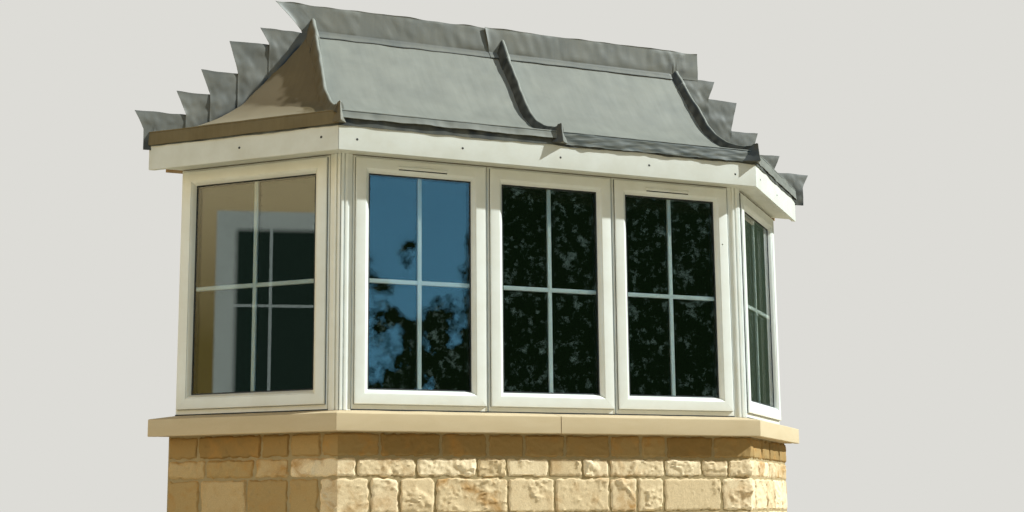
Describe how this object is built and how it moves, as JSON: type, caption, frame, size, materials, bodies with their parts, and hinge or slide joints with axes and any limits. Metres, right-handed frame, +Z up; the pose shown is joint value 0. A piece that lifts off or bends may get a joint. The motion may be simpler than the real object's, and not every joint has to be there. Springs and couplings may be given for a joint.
{
  "type": "bay window",
  "caption": "Canted bay window: white casements on a stone sill and dwarf wall, splayed sides, and a swept lead roof with rolls and stepped flashings, open at the back.",
  "frame": {"origin": "on the ground, at the middle of the bay, in the plane of the house wall's outer face", "axes": "+X to the right seen from outside, -Y out of the house, +Z up"},
  "size_m": [3.447, 0.757, 2.952],
  "materials": {
    "walling_stone": "rock-faced coursed limestone with lime mortar",
    "sawn_stone": "sawn buff limestone",
    "plaster": "painted plaster",
    "concrete": "trowelled concrete",
    "upvc": "white, semi-gloss",
    "glazing": "clear sealed unit",
    "timber": "sawn softwood",
    "sheet_lead": "weathered sheet lead, dull grey"
  },
  "bodies": {
    "root": {"outer_wall_front": "walling_stone", "outer_wall_left": "walling_stone", "outer_wall_right": "walling_stone", "inner_wall": "plaster", "floor_slab": "concrete", "ceiling_board": "plaster", "sill_front_left": "sawn_stone", "sill_front_right": "sawn_stone", "sill_left": "sawn_stone", "sill_right": "sawn_stone", "window_board": "upvc", "frame_front_1": "upvc", "sash_front_1": "upvc", "glass_front_1": "glazing", "frame_front_2": "upvc", "sash_front_2": "upvc", "glass_front_2": "glazing", "frame_front_3": "upvc", "sash_front_3": "upvc", "glass_front_3": "glazing", "frame_side_left": "upvc", "sash_side_left": "upvc", "glass_side_left": "glazing", "frame_side_right": "upvc", "sash_side_right": "upvc", "glass_side_right": "glazing", "corner_post_left": "upvc", "corner_post_right": "upvc", "head_beam": "timber", "soffit": "upvc", "fascia_front": "upvc", "fascia_left": "upvc", "fascia_right": "upvc", "roof_deck": "timber", "rafters": "timber", "ledger": "timber", "roof_lead_front_left": "sheet_lead", "roof_lead_front_right": "sheet_lead", "roof_lead_left": "sheet_lead", "roof_lead_right": "sheet_lead", "eaves_apron": "sheet_lead", "centre_roll": "sheet_lead", "hip_roll_left": "sheet_lead", "hip_roll_right": "sheet_lead", "top_flashing_left": "sheet_lead", "top_flashing_right": "sheet_lead", "step_flashing_left": "sheet_lead", "step_flashing_right": "sheet_lead"}
  },
  "joints": []
}
